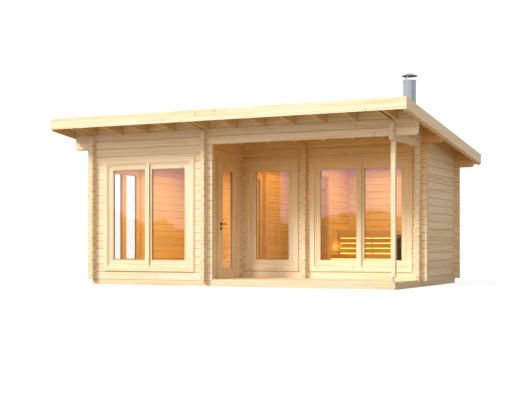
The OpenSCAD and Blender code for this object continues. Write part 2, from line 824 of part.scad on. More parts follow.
module upper_bench() color(spruce) site() {
    top = upper_bench_z;
    edge_low = top - upper_edge_h;
    block([sauna_x0, upper_front_y, top - seat_t], [right_wall_x, back_wall_y, top]);
    block([sauna_x0, upper_front_y, edge_low],
        [right_wall_x, upper_front_y + seat_t, top]);
    // Slats of the front, on uprights behind them
    slats = floor((edge_low - lower_bench_z) / slat_pitch);
    for (i = [1:slats])
        block([sauna_x0, upper_front_y + seat_t, edge_low - i * slat_pitch],
            [right_wall_x, upper_front_y + 2 * seat_t, edge_low - i * slat_pitch + slat_h]);
    uprights = 4;
    span = right_wall_x - sauna_x0 - 2 * seat_t;
    for (i = [0:uprights - 1]) {
        x = sauna_x0 + seat_t / 2 + i * span / (uprights - 1);
        block([x, upper_front_y + 2 * seat_t - slack, lower_bench_z],
            [x + seat_t, upper_front_y + 3 * seat_t, top - slack]);
    }
}

module lower_bench() color(spruce) site() {
    top = lower_bench_z;
    block([sauna_x0, lower_front_y, top - seat_t],
        [right_wall_x, upper_front_y + 3 * seat_t, top]);
    block([sauna_x0, lower_front_y, top - lower_edge_h],
        [right_wall_x, lower_front_y + seat_t, top]);
}

module heater() color(iron) site() translate([flue_x, flue_y, 0]) {
    foot = 40;
    half = heater_w / 2;
    block([-half, -half, floor_z + foot], [half, half, heater_z]);
    for (x = [-half, half - foot], y = [-half, half - foot])
        block([x, y, floor_z], [x + foot, y + foot, floor_z + foot + slack]);
}

// A ring of heaped stones around the flue
module heater_stones() color([0.3, 0.3, 0.3]) site()
    translate([flue_x, flue_y, heater_z]) rotate_extrude() {
        rim = heater_w / 2 - 10;
        polygon([[flue_r + 1, 0], [rim, 0], [rim - 12, 35], [rim - 35, 55],
            [flue_r + 1, 60]]);
    }

module flue() color(steel) site() translate([flue_x, flue_y, heater_z]) difference() {
    cylinder(r = flue_r, h = flue_z - heater_z);
    translate([0, 0, -slack]) cylinder(r = flue_bore_r, h = flue_z);
}

// A cone of sheet metal that turns rain away from the hole in the roof
module flue_flashing() color([0.3, 0.31, 0.33]) site() {
    skirt_r = flue_r + 90;
    skirt_h = 120;
    seat = under(flue_y) + board_t + felt_t;
    difference() {
        translate([flue_x, flue_y, seat - slope * skirt_r]) rotate_extrude()
            polygon([[flue_r + flue_gap, 0], [skirt_r, 0],
                [skirt_r, 2 * slope * skirt_r + 3], [flue_r + 4, skirt_h],
                [flue_r + flue_gap, skirt_h]]);
        roof_bar(flue_x - 2 * skirt_r, flue_x + 2 * skirt_r, -wall_top, board_t + felt_t);
    }
}

// A domed cap on three straps that rise from a ring around the flue's top
module flue_cap() color(steel) site() translate([flue_x, flue_y, flue_z]) {
    sheet = 3;
    ring_h = 45;
    gap = 70;
    dome_h = 50;
    dome_r = (cap_r * cap_r + dome_h * dome_h) / (2 * dome_h);
    half = asin(cap_r / dome_r);
    steps = 8;
    outer = [for (i = [0:steps]) let (a = half * i / steps)
        [dome_r * sin(a), gap + dome_h - dome_r * (1 - cos(a))]];
    inner = [for (i = [steps:-1:0]) let (a = half * i / steps)
        [(dome_r - sheet) * sin(a), gap + dome_h - sheet - (dome_r - sheet) * (1 - cos(a))]];
    rotate_extrude() polygon(concat(outer, inner));
    difference() {
        translate([0, 0, -ring_h]) cylinder(r = flue_r + flue_gap + sheet, h = ring_h);
        translate([0, 0, -ring_h - slack])
            cylinder(r = flue_r + flue_gap, h = ring_h + 2 * slack);
    }
    for (a = [30, 150, 270]) rotate([0, 0, a])
        block([flue_r + flue_gap, -10, -slack], [flue_r + flue_gap + sheet, 10, gap + 14]);
}

base_frame();
floor_joists();
terrace_deck();
room_floors();
front_wall();
left_wall();
back_wall();
right_wall();
terrace_wall();
door_wall();
partition();
door_lintels();
roof_beams();
side_beam();
terrace_post();
post_foot();
rafters();
roof_boards();
roof_felt();
end_fascias();
side_fascias();
window_frames();
window_glass();
upright_casings();
level_casings();
door_jambs();
door_heads();
hinge_pins();
entrance_door();
entrance_glass();
entrance_fittings();
entrance_lever();
inner_door();
inner_glass();
inner_fittings();
inner_lever();
sauna_door();
sauna_fittings();
upper_bench();
lower_bench();
heater();
heater_stones();
flue();
flue_flashing();
flue_cap();
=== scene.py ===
import math
import random

import bmesh
import bpy
from mathutils import Matrix, Vector


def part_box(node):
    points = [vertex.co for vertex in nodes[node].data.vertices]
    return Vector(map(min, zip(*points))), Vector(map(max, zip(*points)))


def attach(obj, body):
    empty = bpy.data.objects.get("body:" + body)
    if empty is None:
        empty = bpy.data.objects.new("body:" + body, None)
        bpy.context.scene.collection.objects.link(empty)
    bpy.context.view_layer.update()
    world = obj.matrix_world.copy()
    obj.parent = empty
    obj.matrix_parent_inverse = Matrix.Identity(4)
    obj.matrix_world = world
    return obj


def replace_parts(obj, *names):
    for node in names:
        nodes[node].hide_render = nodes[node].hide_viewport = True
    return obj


# A log-built garden sauna: the finish of its timber, glass and steel, its boards, beads and
# laps, the heater's stones, its lamps, and the plain studio that it stands in. Lengths are
# in metres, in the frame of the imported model.

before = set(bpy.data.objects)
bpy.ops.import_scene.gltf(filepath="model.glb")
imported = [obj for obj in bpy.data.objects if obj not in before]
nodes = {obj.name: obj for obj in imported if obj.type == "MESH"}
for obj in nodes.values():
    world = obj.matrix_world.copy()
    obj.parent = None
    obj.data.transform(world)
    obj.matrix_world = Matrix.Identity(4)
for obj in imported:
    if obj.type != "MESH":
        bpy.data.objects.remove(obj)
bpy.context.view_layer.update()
scene = bpy.context.scene

# ---- Base frame --------------------------------------------------------------
# Sawn beams under the walls, with joists fixed between them. They are slow-grown spruce,
# like all the timber here: bare and pale, with warm streaks along the grain, a few small
# brown knots, and rings on the sawn ends.


class Shade:
    """One socket of a material, with the sums that the finishes use.

    A sum on values adds a Math node, and one on vectors or colours a Vector Math node.
    """

    def __init__(self, socket):
        self.socket = socket

    def node(self, kind, settings=None, inputs=None, output=0):
        """Any node of this tree: its settings first, then its inputs' values or links."""
        made = self.socket.id_data.nodes.new("ShaderNode" + kind)
        for name, value in (settings or {}).items():
            setattr(made, name, value)
        for name, value in (inputs or {}).items():
            if isinstance(value, Shade):
                self.socket.id_data.links.new(value.socket, made.inputs[name])
            else:
                made.inputs[name].default_value = value
        return Shade(made.outputs[output])

    def sum(self, operation, other=0.0, swap=False):
        vector = self.socket.type != "VALUE"
        first, second = (other, self) if swap else (self, other)
        kind = "VectorMath" if vector else "Math"
        return self.node(kind, {"operation": operation}, {0: first, 1: second})

    def __add__(self, other):
        return self.sum("ADD", other)

    def __radd__(self, other):
        return self.sum("ADD", other, swap=True)

    def __sub__(self, other):
        return self.sum("SUBTRACT", other)

    def __rsub__(self, other):
        return self.sum("SUBTRACT", other, swap=True)

    def __mul__(self, other):
        return self.sum("MULTIPLY", other)

    def __rmul__(self, other):
        return self.sum("MULTIPLY", other, swap=True)

    def __truediv__(self, other):
        return self.sum("DIVIDE", other)

    def __gt__(self, other):
        return self.sum("GREATER_THAN", other)

    def __lt__(self, other):
        return self.sum("LESS_THAN", other)

    def __abs__(self):
        return self.sum("ABSOLUTE")

    def floor(self):
        return self.sum("FLOOR")

    def split(self):
        """The three values of a vector."""
        return [self.node("SeparateXYZ", inputs={0: self}, output=i) for i in range(3)]

    def vector(self, second, third):
        """A vector with this value as its first."""
        return self.node("CombineXYZ", inputs={0: self, 1: second, 2: third})

    def noise(self, scale=1.0, detail=2.0, rough=0.5, distort=0.0):
        inputs = {"Vector": self, "Scale": scale, "Detail": detail,
                  "Roughness": rough, "Distortion": distort}
        return self.node("TexNoise", inputs=inputs)

    def chance(self):
        """A fixed random value from 0 to 1 for each value of this socket."""
        return self.node("TexWhiteNoise", {"noise_dimensions": "1D"}, {"W": self})

    def between(self, low, high, start=0.0, end=1.0):
        """start at low, end at high, and an even slope between them."""
        inputs = {"Value": self, 1: low, 2: high, 3: start, 4: end}
        return self.node("MapRange", inputs=inputs)

    def blend(self, first, second):
        """The first colour where this value is 0, and the second where it is 1."""
        settings = {"data_type": "RGBA"}
        return self.node("Mix", settings, {0: self, 6: first, 7: second}, output=2)

    def bump(self, strength, depth):
        """A surface that stands out by depth where this value is 1."""
        return self.node("Bump", inputs={"Strength": strength, "Distance": depth,
                                         "Height": self})


def new_material(name):
    """A material, its Principled shader, and the place on the piece as a socket."""
    material = bpy.data.materials.new(name)
    material.use_nodes = True
    tree = material.node_tree
    shader = tree.nodes["Principled BSDF"]
    place = Shade(tree.nodes.new("ShaderNodeTexCoord").outputs["Object"])
    return material, shader, place


def feed(shader, name, value):
    """Link a socket of sums to one of a shader's inputs."""
    shader.id_data.links.new(value.socket, shader.inputs[name])


def rgb(red, green, blue):
    """A colour with full cover."""
    return (red, green, blue, 1.0)


SPRUCE = rgb(0.855, 0.735, 0.550)
STREAK = rgb(0.76, 0.50, 0.22)
KNOT = rgb(0.50, 0.25, 0.09)
JOINT = rgb(0.42, 0.23, 0.085)
JOINT_HALF = 0.0060
KNOT_CELLS = 3.1
KNOT_R = 0.042
HALO_R = 0.150
PITH_OFF = 0.02
RINGS = 42.0
END_DARK = 0.04
RING_DARK = 0.08
BOARD_SHIFT = 31.0


def spruce(name, run=None, upright=None, course=None, start=0.0, lines=0.0,
           pale=SPRUCE, streak=STREAK, knots=0.09, tone=0.10, painted_shade=None):
    """Spruce whose grain runs along X (0) or Y (1), or along each face's own level line.

    upright turns the grain to Z, everywhere or where the function given says so. course
    is the height of a log, or the width of a board across Y, and start is where the first
    one begins. lines is how dark the joints between logs are. knots is the share of cells
    that hold one, and tone how much one log differs from the next. The last argument gives
    the bounds within which the wood is painted darker and oranger as it rises: painted shade
    and warm bounce light under the roof.
    """
    material, shader, place = new_material(name)
    x, y, z = place.split()
    facing = Shade(place.socket.node.outputs["Normal"])
    toward_x, toward_y, toward_z = facing.split()
    level, depth = x, y
    if run == 1:
        level, depth = y, x
    if run is None:
        side = abs(toward_x) > 0.5
        level = x + side * (y - x)
        depth = y + side * (x - y)
    flat = abs(toward_z) > 0.7
    along, across = level, z
    if upright is not None:
        standing = upright(x, y, z) if callable(upright) else upright
        along = level + standing * (z - level)
        across = z + standing * (level - z)

    # Each log or board is sawn from another place, so its pattern starts elsewhere.
    own = 0.5
    if course:
        rank = ((z if lines else y) - start) / course
        number = rank.floor()
        own = number.chance()
    shift = own * BOARD_SHIFT
    broad = (along * 0.7 + shift).vector(across * 30.0 + shift, depth * 30.0)
    fine = (along * 2.4 + shift).vector(across * 110.0, depth * 110.0)
    streaks = broad.noise(1.0, 3.0, 0.65, 0.4).between(0.46, 0.66)
    fibres = fine.noise(1.0, 2.0, 0.6).between(0.35, 0.75)
    colour = (streaks * 0.62 + fibres * 0.26 - 0.03).blend(pale, streak)

    spread = across + flat * (depth - across)
    cells = (along + shift).vector(spread, 0.0)
    reach = cells.node("TexVoronoi", {"voronoi_dimensions": "2D"},
                       {"Vector": cells, "Scale": KNOT_CELLS})
    chosen = Shade(reach.socket.node.outputs["Color"]).split()[0] < knots
    knot = reach.between(0.022, KNOT_R, 0.9, 0.0) * chosen
    halo = reach.between(0.040, HALO_R, 0.35, 0.0) * chosen
    colour = halo.blend(colour, streak)
    colour = knot.blend(colour, KNOT)

    # Painted shade: within the given bounds the wood turns darker and oranger as it rises, in
    # place of the shade and warm bounce light under the roof.
    if painted_shade:
        shade_rise = z.between(painted_shade["low"], painted_shade["high"]) * (x > painted_shade["left"])
        shade_rise = shade_rise * (y > painted_shade["front"]) * (y < painted_shade["back"])
        colour = colour * (1.0 - shade_rise * 0.05).vector(1.0 - shade_rise * 0.25, 1.0 - shade_rise * 0.54)
    if course and lines:
        joint = abs(rank - number - 0.5) > 0.5 - JOINT_HALF / course
        colour = (joint * lines).blend(colour, JOINT)
    light = 1.0 + (own - 0.5) * tone
    if run is not None:
        end = abs(toward_y if run == 1 else toward_x) > 0.7
        core = (depth - PITH_OFF).vector(z, 0.0)
        rings = core.node("TexWave", {"wave_type": "RINGS", "rings_direction": "Z"},
                          {"Vector": core, "Scale": RINGS, "Distortion": 1.5}, output=1)
        light = light * (1.0 - end * (END_DARK + RING_DARK * rings))
    if isinstance(light, Shade):
        colour = colour * light.vector(light, light)

    feed(shader, "Base Color", colour)
    feed(shader, "Roughness", streaks.between(0.0, 1.0, 0.56, 0.66))
    feed(shader, "Normal", (fibres * 0.5 + knot * 0.5).bump(0.12, 0.002))
    shader.inputs["Specular IOR Level"].default_value = 0.35
    return material


def finish_node(name, material):
    """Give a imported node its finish."""
    node = nodes[name]
    node.data.materials.clear()
    node.data.materials.append(material)


base_wood = spruce("base_wood", pale=rgb(0.80, 0.67, 0.48), streak=rgb(0.66, 0.44, 0.22))
finish_node("base_frame", base_wood)
finish_node("floor_joists", base_wood)

# ---- Log walls ---------------------------------------------------------------
# 70 mm machined logs, 135 mm high, stacked with a V joint and crossed at the corners.
# Logs that run from front to back start half a course higher than the others. Under the
# terrace roof and indoors, the wood is painted darker and oranger towards the top: painted
# shade and warm bounce light.

COURSE = 0.135
LOG = 0.07
JOINT_SHADE = 0.40
base_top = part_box("base_frame")[1].z
door_wall_low, door_wall_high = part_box("door_wall")
front_low, front_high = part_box("front_wall")
# Bounds of the painted shade: right of the door wall, behind the front wall, from 0.7 m to
# 2.35 m up.
PAINTED_SHADE_BOX = {"left": door_wall_low.x - 0.01, "front": front_low.y + 0.15,
           "back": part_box("back_wall")[0].y + 0.10, "low": 0.7, "high": 2.35}
half_up = base_top + COURSE / 2
logs_x = spruce("logs_x", run=0, course=COURSE, start=base_top, lines=JOINT_SHADE)
logs_y = spruce("logs_y", run=1, course=COURSE, start=half_up, lines=JOINT_SHADE)
# These copies of the log finish carry the painted shade under the terrace roof and indoors.
shaded_x = spruce("shaded_logs_x", run=0, course=COURSE, start=base_top,
                     lines=JOINT_SHADE, painted_shade=PAINTED_SHADE_BOX)
shaded_y = spruce("shaded_logs_y", run=1, course=COURSE, start=half_up,
                     lines=JOINT_SHADE, painted_shade=PAINTED_SHADE_BOX)
for finish, names in ((logs_x, ("front_wall", "back_wall")),
                      (logs_y, ("left_wall", "right_wall", "side_beam")),
                      (shaded_x, ("terrace_wall", "roof_beams")),
                      (shaded_y, ("door_wall", "partition", "door_lintels"))):
    for name in names:
        finish_node(name, finish)

# ---- Deck and floors ---------------------------------------------------------
# Planed boards screwed down on the joists, all along X: decking with open gaps on the
# terrace, cut back around the walls that stand on it, and tongued boards indoors.

EASE = 0.002
DECK_PITCH = 0.1215
DECK_GAP = 0.005
FLOOR_PITCH = 0.095
FLOOR_GAP = 0.0015
CLEAR = 0.002
SHORTEST = 0.004
BEYOND = 1.0


def board(bm, low, high, bevel=EASE):
    """A board between two corners with its edges eased."""
    low, high = Vector(low), Vector(high)
    place = Matrix.Translation((low + high) / 2) @ Matrix.Diagonal((*(high - low), 1.0))
    made = bmesh.ops.create_cube(bm, size=1.0, matrix=place)
    edges = list({edge for vert in made["verts"] for edge in vert.link_edges})
    bmesh.ops.bevel(bm, geom=edges, offset=bevel, affect="EDGES", segments=1,
                    profile=0.5, material=-1)


def piece(name, bm, material, body="house", smooth=False):
    """A finished piece that rides on a body."""
    mesh = bpy.data.meshes.new(name)
    bmesh.ops.recalc_face_normals(bm, faces=bm.faces)
    for face in bm.faces:
        face.smooth = smooth
    bm.to_mesh(mesh)
    bm.free()
    mesh.materials.append(material)
    made = bpy.data.objects.new(name, mesh)
    scene.collection.objects.link(made)
    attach(made, body)
    return made


def rows(bm, low, high, pitch, gap, blocked=()):
    """Boards along X that fill a rectangle, each cut back from the blocked rectangles."""
    count = max(1, round((high.y - low.y) / pitch))
    width = (high.y - low.y) / count
    for i in range(count):
        y0 = low.y + i * width
        y1 = y0 + width - gap
        spans = [(low.x, high.x)]
        for bx0, by0, bx1, by1 in blocked:
            if by0 < y1 and by1 > y0:
                cut = []
                for x0, x1 in spans:
                    cut += [(x0, min(x1, bx0)), (max(x0, bx1), x1)]
                spans = [(a, b) for a, b in cut if b - a > SHORTEST]
        for x0, x1 in spans:
            board(bm, (x0, y0, low.z), (x1, y1, high.z))


deck_low, deck_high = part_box("terrace_deck")
part_low, part_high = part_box("partition")
right_low, right_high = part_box("right_wall")
deck_wood = spruce("deck_wood", run=0, course=DECK_PITCH, start=deck_low.y, tone=0.16)
bm = bmesh.new()
rows(bm, deck_low, deck_high, DECK_PITCH, DECK_GAP,
     blocked=[(deck_low.x - BEYOND, front_low.y - BEYOND,
               front_high.x + CLEAR, front_low.y + LOG + CLEAR),
              (part_low.x - CLEAR, part_low.y - CLEAR, part_high.x + CLEAR, part_high.y),
              (right_low.x - CLEAR, right_low.y - CLEAR,
               right_high.x + BEYOND, right_high.y)])
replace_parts(piece("deck_boards", bm, deck_wood), "terrace_deck")

floor_low, floor_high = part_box("room_floors")
floor_wood = spruce("floor_wood", run=0, course=FLOOR_PITCH, start=floor_low.y, tone=0.14,
                    pale=rgb(0.80, 0.60, 0.36))
inside_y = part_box("terrace_wall")[0].y + LOG
bm = bmesh.new()
for x0, x1, y0 in ((floor_low.x, door_wall_low.x, floor_low.y),
                   (door_wall_high.x, part_low.x, inside_y),
                   (part_high.x, floor_high.x, inside_y)):
    rows(bm, Vector((x0, y0, floor_low.z)), Vector((x1, floor_high.y, floor_high.z)),
         FLOOR_PITCH, FLOOR_GAP)
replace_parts(piece("floor_boards", bm, floor_wood), "room_floors")

# ---- Terrace post ------------------------------------------------------------
# A planed post on a zinc-plated screw foot, so that it can be let down as the logs
# above it settle. The hinge pins and the glass door's fittings are plated the same way.


def brushed(name, colour, rough, spread=0.16, metal=1.0):
    """Sheet or plated steel with upright drawn lines and soft clouding."""
    material, shader, place = new_material(name)
    x, y, z = place.split()
    lines = (x * 22.0).vector(y * 22.0, z * 0.3).noise(1.0, 1.0, 0.4)
    cloud = place.noise(3.0, 2.0, 0.5)
    mix = (lines * 0.85 + cloud * 0.15).between(0.35, 0.65)
    dark = rgb(*(part * (1 - spread) for part in colour[:3]))
    feed(shader, "Base Color", mix.blend(dark, colour))
    feed(shader, "Roughness", mix.between(0.0, 1.0, rough + 0.07, rough - 0.05))
    shader.inputs["Metallic"].default_value = metal
    return material


finish_node("terrace_post", spruce("post_wood", upright=1.0, knots=0.18))
zinc = brushed("zinc_plate", rgb(0.66, 0.67, 0.68), 0.38)
for name in ("post_foot", "hinge_pins", "sauna_fittings"):
    finish_node(name, zinc)

# ---- Roof --------------------------------------------------------------------
# Rafters on edge carry tongued roof boards, laid across them and grooved below, under
# mineral felt. Planed fascias close all four sides.

PITCH = math.tan(math.radians(6.5))
ROOF_BOARD = 0.096
BOARD_T = 0.020
GROOVE = 0.006
roof_low, roof_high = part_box("roof_boards")
flue_low, flue_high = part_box("flue")
flue_mid = (flue_low + flue_high) / 2
flue_r = (flue_high.x - flue_low.x) / 2
ROOF_HOLE = flue_r + 0.004
# Painted shade: the rafters and the roof boards are coloured darker and oranger than the
# other spruce, for the shade under the eaves.
shaded_rafter_wood = spruce("shaded_rafter_wood", run=1, knots=0.2, pale=rgb(0.74, 0.52, 0.26))
finish_node("rafters", shaded_rafter_wood)
fascia_wood = spruce("fascia_wood", tone=0.0, knots=0.22)
finish_node("end_fascias", fascia_wood)
finish_node("side_fascias", fascia_wood)
shaded_roof_wood = spruce("shaded_roof_wood", run=0, course=ROOF_BOARD, start=roof_low.y, tone=0.18,
                   pale=rgb(0.66, 0.42, 0.18))


def slope_from(bm, y):
    """Lean level work to the roof's fall, with its height kept at this Y."""
    slope = Matrix.Identity(4)
    slope[2][1] = -PITCH
    slope[2][3] = PITCH * y
    bmesh.ops.transform(bm, matrix=slope, verts=bm.verts)


bm = bmesh.new()
count = round((roof_high.y - roof_low.y) / ROOF_BOARD)
width = (roof_high.y - roof_low.y) / count
board_mid = roof_high.z - BOARD_T / 2
for i in range(count):
    y0 = roof_low.y + i * width
    y1 = y0 + width
    spans = [(roof_low.x, roof_high.x)]
    if y0 < flue_mid.y + ROOF_HOLE and y1 > flue_mid.y - ROOF_HOLE:
        spans = [(roof_low.x, flue_mid.x - ROOF_HOLE), (flue_mid.x + ROOF_HOLE, roof_high.x)]
    for x0, x1 in spans:
        middle = Matrix.Translation(((x0 + x1) / 2, (y0 + y1) / 2, board_mid))
        size = Matrix.Diagonal((x1 - x0, y1 - y0, BOARD_T, 1.0))
        made = bmesh.ops.create_cube(bm, size=1.0, matrix=middle @ size)
        lower = [edge for edge in {e for vert in made["verts"] for e in vert.link_edges}
                 if all(vert.co.z < board_mid for vert in edge.verts)
                 and abs(edge.verts[0].co.x - edge.verts[1].co.x) > 0.01]
        bmesh.ops.bevel(bm, geom=lower, offset=GROOVE, affect="EDGES", segments=1,
                        profile=0.5, material=-1)
slope_from(bm, roof_low.y)
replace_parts(piece("roof_board_rows", bm, shaded_roof_wood), "roof_boards")

felt, shader, place = new_material("mineral_felt")
grit = place.noise(420.0, 2.0, 0.7)
stain = place.noise(1.3, 4.0, 0.6)
tint = (grit * 0.6 + stain * 0.4).between(0.35, 0.68)
feed(shader, "Base Color", tint.blend(rgb(0.035, 0.036, 0.040), rgb(0.105, 0.107, 0.112)))
feed(shader, "Normal", grit.bump(0.5, 0.002))
shader.inputs["Roughness"].default_value = 0.9
finish_node("roof_felt", felt)

# The felt is laid in sheets across the slope, each lapping the one below it by 80 mm.
felt_low, felt_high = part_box("roof_felt")
SHEETS = 4
LAP = 0.08
LAP_T = 0.003
bm = bmesh.new()
for i in range(1, SHEETS):
    y0 = felt_low.y + (felt_high.y - felt_low.y) * i / SHEETS
    board(bm, (felt_low.x, y0, felt_high.z), (felt_high.x, y0 + LAP, felt_high.z + LAP_T),
          bevel=0.001)
slope_from(bm, felt_low.y)
piece("felt_laps", bm, felt)

# ---- Windows -----------------------------------------------------------------
# Fixed joinery windows: stiles and rails around sealed glass, which beads hold on a thin
# gasket, and flat casings over the logs' cut ends on both faces. The left wall's panes
# are plain, and the others have a coating that mirrors more.

GLASS_T = 0.024
BEAD = 0.014
BEAD_DEEP = 0.010
GASKET = 0.0035
GASKET_DEEP = 0.003
COATED = 0.13
PLAIN = 0.05
GRAZING = 0.4
UNCOATED = 0.15
glass_low, glass_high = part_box("window_glass")
coated_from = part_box("left_wall")[1].x + 0.02


def window_stiles(x, y, z):
    """1 beside the panes, where the frame's pieces stand."""
    return (z > glass_low.z) * (z < glass_high.z)


# The window frames and the casings carry the painted shade under the terrace roof as well.
frame_wood = spruce("frame_wood", upright=window_stiles, knots=0.05, tone=0.0,
                    painted_shade=PAINTED_SHADE_BOX)
finish_node("window_frames", frame_wood)
casing_upright = spruce("casing_upright", upright=1.0, knots=0.10, painted_shade=PAINTED_SHADE_BOX)
finish_node("upright_casings", casing_upright)
casing_level = spruce("casing_level", knots=0.10, painted_shade=PAINTED_SHADE_BOX)
finish_node("level_casings", casing_level)


def clear_glass(name, mirror, tint, plain_until=None):
    """Clear float glass: most light passes, and the rest is a clean reflection.

    Panes whose X is below plain_until have no coating, so that they mirror less.
    """
    material = bpy.data.materials.new(name)
    material.use_nodes = True
    tree = material.node_tree
    tree.nodes.clear()
    out = tree.nodes.new("ShaderNodeOutputMaterial")
    through = tree.nodes.new("ShaderNodeBsdfTransparent")
    through.inputs["Color"].default_value = tint
    shine = tree.nodes.new("ShaderNodeBsdfGlossy")
    shine.inputs["Roughness"].default_value = 0.0
    edge_on = Shade(tree.nodes.new("ShaderNodeLayerWeight").outputs["Facing"])
    share = mirror + (1.0 - mirror) * GRAZING * edge_on.sum("POWER", 5.0)
    if plain_until is not None:
        place = Shade(tree.nodes.new("ShaderNodeTexCoord").outputs["Object"])
        share = share * (1.0 - (1.0 - UNCOATED) * (place.split()[0] < plain_until))
    mix = tree.nodes.new("ShaderNodeMixShader")
    tree.links.new(share.socket, mix.inputs[0])
    tree.links.new(through.outputs[0], mix.inputs[1])
    tree.links.new(shine.outputs[0], mix.inputs[2])
    tree.links.new(mix.outputs[0], out.inputs["Surface"])
    return material


pane_glass = clear_glass("pane_glass", COATED, rgb(0.99, 0.985, 0.98), coated_from)
for name in ("window_glass", "entrance_glass", "inner_glass"):
    finish_node(name, pane_glass)


def pane_boxes(name):
    """The box of each separate pane of a glass node."""
    bm = bmesh.new()
    bm.from_mesh(nodes[name].data)
    bmesh.ops.remove_doubles(bm, verts=bm.verts, dist=1e-5)
    left = set(bm.verts)
    boxes = []
    while left:
        group = {left.pop()}
        border = list(group)
        while border:
            vert = border.pop()
            for edge in vert.link_edges:
                other = edge.other_vert(vert)
                if other in left:
                    left.discard(other)
                    group.add(other)
                    border.append(other)
        places = [vert.co for vert in group]
        boxes.append((Vector([min(spot[i] for spot in places) for i in range(3)]),
                      Vector([max(spot[i] for spot in places) for i in range(3)])))
    bm.free()
    return sorted(boxes, key=lambda pair: tuple(pair[0]))


def pane_edges(bm, low, high, size, near, far):
    """Four strips around a pane, from near to far off its middle plane, on both faces."""
    thin = 0 if high.x - low.x < high.y - low.y else 1
    wide = 1 - thin
    middle = (low[thin] + high[thin]) / 2
    for side in (-1, 1):
        ends = sorted((middle + side * near, middle + side * far))
        for w0, w1, z0, z1 in (
                (low[wide], high[wide], low.z, low.z + size),
                (low[wide], high[wide], high.z - size, high.z),
                (low[wide], low[wide] + size, low.z + size, high.z - size),
                (high[wide] - size, high[wide], low.z + size, high.z - size)):
            a, b = [0, 0, z0], [0, 0, z1]
            a[thin], b[thin] = ends
            a[wide], b[wide] = w0, w1
            board(bm, a, b, bevel=min(size, far - near) * 0.3)


# A real glazing gasket, but coloured dark brown like shaded wood: a painted shade line where
# the bead meets the glass.
gasket_shade, shader, place = new_material("gasket_shade_brown")
dust = place.noise(200.0, 2.0, 0.6)
feed(shader, "Base Color", dust.blend(rgb(0.30, 0.17, 0.075), rgb(0.40, 0.24, 0.11)))
shader.inputs["Roughness"].default_value = 0.7
bead_wood = spruce("bead_wood", upright=window_stiles, knots=0.0, tone=0.0)
face = GLASS_T / 2
for name, body in (("window_glass", "house"), ("entrance_glass", "entrance_leaf"),
                   ("inner_glass", "inner_leaf")):
    beads = bmesh.new()
    gaskets = bmesh.new()
    for low, high in pane_boxes(name):
        pane_edges(beads, low, high, BEAD, face + 0.001, face + BEAD_DEEP)
        pane_edges(gaskets, low, high, BEAD + GASKET, face + 0.0002, face + GASKET_DEEP)
    piece(name + "_beads", beads, bead_wood, body)
    piece(name + "_gaskets", gaskets, gasket_shade, body)

# ---- Doors -------------------------------------------------------------------
# Two framed leaves, each with one tall pane between stiles and rails, and a sauna door of
# plain toughened glass. The leaves' hinge halves are plated steel, and their lock plates
# and levers are black.


def door_stiles(glass):
    """1 beside the glass, where the leaf's pieces stand."""
    low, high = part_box(glass)
    return lambda x, y, z: 1.0 - (y > low.y) * (y < high.y)


# The leaves' wood carries the painted shade under the terrace roof.
for leaf in ("entrance", "inner"):
    stiles = door_stiles(leaf + "_glass")
    finish_node(leaf + "_door", spruce(leaf + "_door_wood", run=1, upright=stiles,
                                       knots=0.06, tone=0.0, painted_shade=PAINTED_SHADE_BOX))
finish_node("door_jambs", casing_upright)
finish_node("door_heads", casing_level)
finish_node("sauna_door", clear_glass("door_glass", PLAIN, rgb(0.97, 0.98, 0.97)))

BLACK = rgb(0.012, 0.012, 0.013)
WORN_BLACK = rgb(0.035, 0.035, 0.038)
PLATE = rgb(0.70, 0.55, 0.36)
BRIGHT_PLATE = rgb(0.80, 0.66, 0.46)
HINGE_SIDE = 0.20


def painted(name, plated=None):
    """Black powder-coated steel, or plated steel where the function of its place says so."""
    material, shader, place = new_material(name)
    fleck = place.noise(900.0, 2.0, 0.6)
    colour = fleck.blend(BLACK, WORN_BLACK)
    if plated:
        colour = plated(place).blend(colour, fleck.blend(PLATE, BRIGHT_PLATE))
    feed(shader, "Base Color", colour)
    feed(shader, "Roughness", fleck.between(0.0, 1.0, 0.38, 0.52))
    shader.inputs["Metallic"].default_value = 0.3
    return material


def hinge_side(leaf):
    """A function of place that is 1 near a leaf's hinges, on the side away from its lever."""
    leaf_low, leaf_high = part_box(leaf + "_door")
    lever_low, lever_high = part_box(leaf + "_lever")
    middle = (leaf_low.y + leaf_high.y) / 2
    away = -1.0 if lever_low.y + lever_high.y > 2 * middle else 1.0
    return lambda place: (place.split()[1] - middle) * away > HINGE_SIDE


black = painted("black_steel")
finish_node("entrance_lever", black)
finish_node("inner_lever", black)
for leaf in ("entrance", "inner"):
    finish_node(leaf + "_fittings", painted(leaf + "_fittings", hinge_side(leaf)))

# ---- Benches -----------------------------------------------------------------
# Two steps of pale boards across the sauna's back wall. Warm light strips sit behind the
# gaps between the upper bench's slats and below the lower bench's front board.

SEAT_T = 0.028
STRIP_H = 0.012
STRIP_IN = 0.04
GAPS = 4
GAP_DOWN = 0.148
GAP_PITCH = 0.093
STRIP_GLOW = 4.2
AMBER = (1.0, 0.52, 0.07)
upper_low, upper_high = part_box("upper_bench")
lower_low, lower_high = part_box("lower_bench")
bench_wood = spruce("bench_wood", run=0, pale=rgb(0.78, 0.57, 0.34), knots=0.05)
finish_node("upper_bench", bench_wood)
finish_node("lower_bench", bench_wood)

